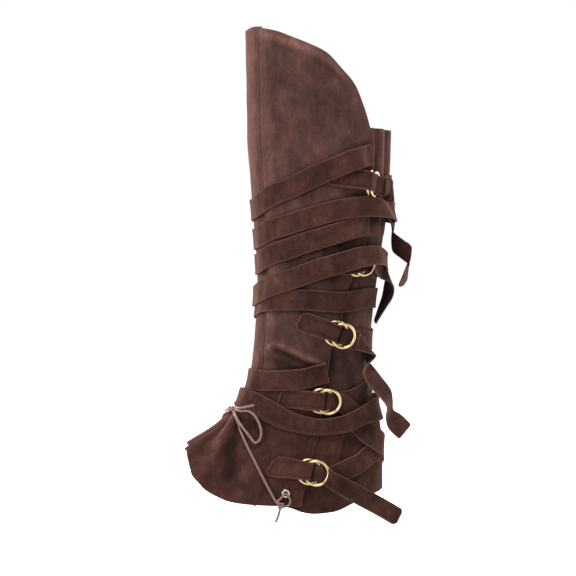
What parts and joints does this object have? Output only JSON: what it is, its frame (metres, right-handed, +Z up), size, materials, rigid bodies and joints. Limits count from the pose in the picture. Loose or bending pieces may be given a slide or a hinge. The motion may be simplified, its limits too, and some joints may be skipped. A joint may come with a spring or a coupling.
{
  "type": "boot cover",
  "caption": "Suede boot cover for the left leg: tall arched shin panel, laced spat over instep and heel, wrapped straps held by double brass rings, and a thin leather lace.",
  "frame": {"origin": "middle of the ankle, inside the hollow where the wearer's leg passes through the cover", "axes": "+Z up the leg, -X forward to the toe, -Y the outer side of the left leg with the ring buckles"},
  "size_m": [0.2435, 0.1359, 0.505],
  "materials": {
    "ankle_band": "dark brown suede with a mottled nap",
    "bow_end_inner": "round leather lace, mauve brown",
    "bow_end_outer": "round leather lace, mauve brown",
    "bow_knot": "round leather lace, mauve brown",
    "bow_loop_inner": "round leather lace, mauve brown",
    "bow_loop_outer": "round leather lace, mauve brown",
    "eyelet_inner": "nickel-plated eyelet, slightly dull",
    "eyelet_outer": "nickel-plated eyelet, slightly dull",
    "heel_piece": "dark brown suede with a mottled nap",
    "inner_panel": "dark brown suede with a mottled nap",
    "lace_eye_inner": "round leather lace, mauve brown",
    "lace_eye_outer": "round leather lace, mauve brown",
    "lace_knot_inner": "round leather lace, mauve brown",
    "lace_knot_outer": "round leather lace, mauve brown",
    "lace_strand_inner": "round leather lace, mauve brown",
    "lace_strand_outer": "round leather lace, mauve brown",
    "lace_tail_inner": "round leather lace, mauve brown",
    "lace_tail_outer": "round leather lace, mauve brown",
    "outer_panel": "dark brown suede with a mottled nap",
    "ring_1_front": "polished brass wire ring",
    "ring_1_rear": "polished brass wire ring",
    "ring_2_front": "polished brass wire ring",
    "ring_2_rear": "polished brass wire ring",
    "ring_3_front": "polished brass wire ring",
    "ring_3_rear": "polished brass wire ring",
    "ring_4_front": "polished brass wire ring",
    "ring_4_rear": "polished brass wire ring",
    "ring_5_front": "polished brass wire ring",
    "ring_5_rear": "polished brass wire ring",
    "strap_a": "dark brown suede with a mottled nap",
    "strap_b": "dark brown suede with a mottled nap",
    "strap_c": "dark brown suede with a mottled nap",
    "strap_heel": "dark brown suede with a mottled nap",
    "strap_top": "dark brown suede with a mottled nap",
    "tab_1": "dark brown suede with a mottled nap",
    "tab_2": "dark brown suede with a mottled nap",
    "tab_3": "dark brown suede with a mottled nap",
    "tab_4": "dark brown suede with a mottled nap",
    "tab_5": "dark brown suede with a mottled nap",
    "tail_1": "dark brown suede with a mottled nap",
    "tail_2": "dark brown suede with a mottled nap",
    "tail_3": "dark brown suede with a mottled nap",
    "tail_4": "dark brown suede with a mottled nap",
    "tail_5": "dark brown suede with a mottled nap",
    "underlap": "dark brown suede with a mottled nap",
    "vamp_inner": "dark brown suede with a mottled nap",
    "vamp_outer": "dark brown suede with a mottled nap"
  },
  "bodies": {
    "root": {"ankle_band": "ankle_band", "bow_end_inner": "bow_end_inner", "bow_end_outer": "bow_end_outer", "bow_knot": "bow_knot", "bow_loop_inner": "bow_loop_inner", "bow_loop_outer": "bow_loop_outer", "eyelet_inner": "eyelet_inner", "eyelet_outer": "eyelet_outer", "heel_piece": "heel_piece", "inner_panel": "inner_panel", "lace_eye_inner": "lace_eye_inner", "lace_eye_outer": "lace_eye_outer", "lace_knot_inner": "lace_knot_inner", "lace_knot_outer": "lace_knot_outer", "lace_strand_inner": "lace_strand_inner", "lace_strand_outer": "lace_strand_outer", "lace_tail_inner": "lace_tail_inner", "lace_tail_outer": "lace_tail_outer", "outer_panel": "outer_panel", "ring_1_front": "ring_1_front", "ring_1_rear": "ring_1_rear", "ring_2_front": "ring_2_front", "ring_2_rear": "ring_2_rear", "ring_3_front": "ring_3_front", "ring_3_rear": "ring_3_rear", "ring_4_front": "ring_4_front", "ring_4_rear": "ring_4_rear", "ring_5_front": "ring_5_front", "ring_5_rear": "ring_5_rear", "strap_a": "strap_a", "strap_b": "strap_b", "strap_c": "strap_c", "strap_heel": "strap_heel", "strap_top": "strap_top", "tab_1": "tab_1", "tab_2": "tab_2", "tab_3": "tab_3", "tab_4": "tab_4", "tab_5": "tab_5", "tail_1": "tail_1", "tail_2": "tail_2", "tail_3": "tail_3", "tail_4": "tail_4", "tail_5": "tail_5", "underlap": "underlap", "vamp_inner": "vamp_inner", "vamp_outer": "vamp_outer"}
  },
  "joints": []
}
